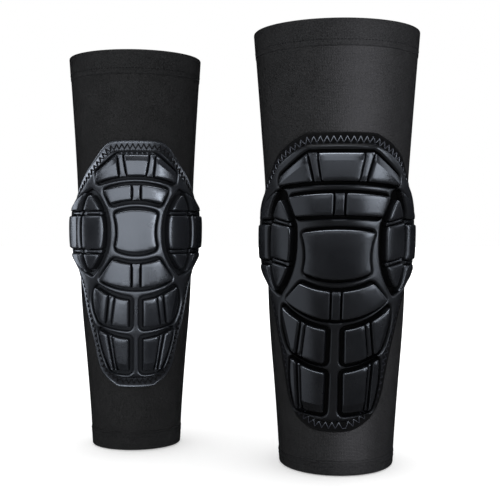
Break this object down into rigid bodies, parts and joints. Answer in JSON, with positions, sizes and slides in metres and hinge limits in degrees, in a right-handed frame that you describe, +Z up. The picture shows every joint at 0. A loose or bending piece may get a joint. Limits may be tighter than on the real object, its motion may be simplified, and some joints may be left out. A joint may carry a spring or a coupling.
{
  "type": "pair of knee guards",
  "caption": "Pair of pull-on stretch-knit guards, one large and one small, each with a moulded segmented impact pad on the front that bends with the joint.",
  "frame": {"origin": "centre of the pair's footprint on the surface that both guards stand on", "axes": "+Z up along both sleeves, +X to the viewer's right from the small guard to the large one, -Y the way both pads face"},
  "size_m": [0.2896, 0.1912, 0.34],
  "materials": {
    "knit": "fine ribbed nylon and elastane knit with a slight sheen",
    "hem": "double knit, folded and cover-stitched",
    "seam": "flat-lock thread",
    "silicone": "satin silicone beads",
    "pad_base": "satin moulded rubber",
    "plate": "semi-gloss moulded rubber",
    "foam": "mesh-faced cushioning foam"
  },
  "bodies": {
    "large_lower": {"large_sleeve_lower": "knit", "large_bottom_hem": "hem", "large_bottom_grip_strip": "silicone", "large_back_seam_lower": "seam", "large_pad_base_lower": "pad_base", "large_foam_lower": "foam", "large_lower_arch_plate": "plate", "large_shin_plate_left": "plate", "large_shin_plate_right": "plate", "large_shin_end_plate_left": "plate", "large_shin_end_plate_right": "plate"},
    "large_knee": {"large_sleeve_knee": "knit", "large_back_seam_knee": "seam", "large_pad_base_knee": "pad_base", "large_foam_knee": "foam", "large_kneecap_plate": "plate", "large_inner_wing_left": "plate", "large_inner_wing_right": "plate", "large_outer_wing_left": "plate", "large_outer_wing_right": "plate"},
    "large_upper": {"large_sleeve_upper": "knit", "large_top_hem": "hem", "large_top_grip_strip": "silicone", "large_back_seam_upper": "seam", "large_pad_base_upper": "pad_base", "large_foam_upper": "foam", "large_brow_plate": "plate", "large_upper_arch_plate": "plate"},
    "small_lower": {"small_sleeve_lower": "knit", "small_bottom_hem": "hem", "small_bottom_grip_strip": "silicone", "small_back_seam_lower": "seam", "small_pad_base_lower": "pad_base", "small_foam_lower": "foam", "small_lower_arch_plate": "plate", "small_shin_plate_left": "plate", "small_shin_plate_right": "plate", "small_shin_end_plate_left": "plate", "small_shin_end_plate_right": "plate"},
    "small_knee": {"small_sleeve_knee": "knit", "small_back_seam_knee": "seam", "small_pad_base_knee": "pad_base", "small_foam_knee": "foam", "small_kneecap_plate": "plate", "small_inner_wing_left": "plate", "small_inner_wing_right": "plate", "small_outer_wing_left": "plate", "small_outer_wing_right": "plate"},
    "small_upper": {"small_sleeve_upper": "knit", "small_top_hem": "hem", "small_top_grip_strip": "silicone", "small_back_seam_upper": "seam", "small_pad_base_upper": "pad_base", "small_foam_upper": "foam", "small_brow_plate": "plate", "small_upper_arch_plate": "plate"}
  },
  "joints": [
    {"name": "small_guard_lift", "type": "slide", "parent": "large_lower", "child": "small_lower", "axis": [0, 0, 1], "range_m": [0, 0.36]},
    {"name": "large_lower_bend", "type": "hinge", "parent": "large_lower", "child": "large_knee", "pos_m": [0.07619, -0.06727, 0.145], "axis": [-0.9976, 0.0698, 0], "range_deg": [0, 35], "stiffness_Nm_per_rad": 6, "deforming": ["large_sleeve_knee", "large_back_seam_knee", "large_pad_base_knee"]},
    {"name": "large_upper_bend", "type": "hinge", "parent": "large_knee", "child": "large_upper", "pos_m": [0.07619, -0.06727, 0.19], "axis": [-0.9976, 0.0698, 0], "range_deg": [0, 35], "stiffness_Nm_per_rad": 6},
    {"name": "small_lower_bend", "type": "hinge", "parent": "small_lower", "child": "small_knee", "pos_m": [-0.08464, 0.00537, 0.1617], "axis": [-0.9925, -0.1219, 0], "range_deg": [0, 35], "stiffness_Nm_per_rad": 6, "deforming": ["small_sleeve_knee", "small_back_seam_knee", "small_pad_base_knee"]},
    {"name": "small_upper_bend", "type": "hinge", "parent": "small_knee", "child": "small_upper", "pos_m": [-0.08464, 0.00537, 0.2047], "axis": [-0.9925, -0.1219, 0], "range_deg": [0, 35], "stiffness_Nm_per_rad": 6}
  ],
  "couplings": [
    {"joint": "large_upper_bend", "follows": "large_lower_bend", "ratio": 1},
    {"joint": "small_upper_bend", "follows": "small_lower_bend", "ratio": 1}
  ]
}
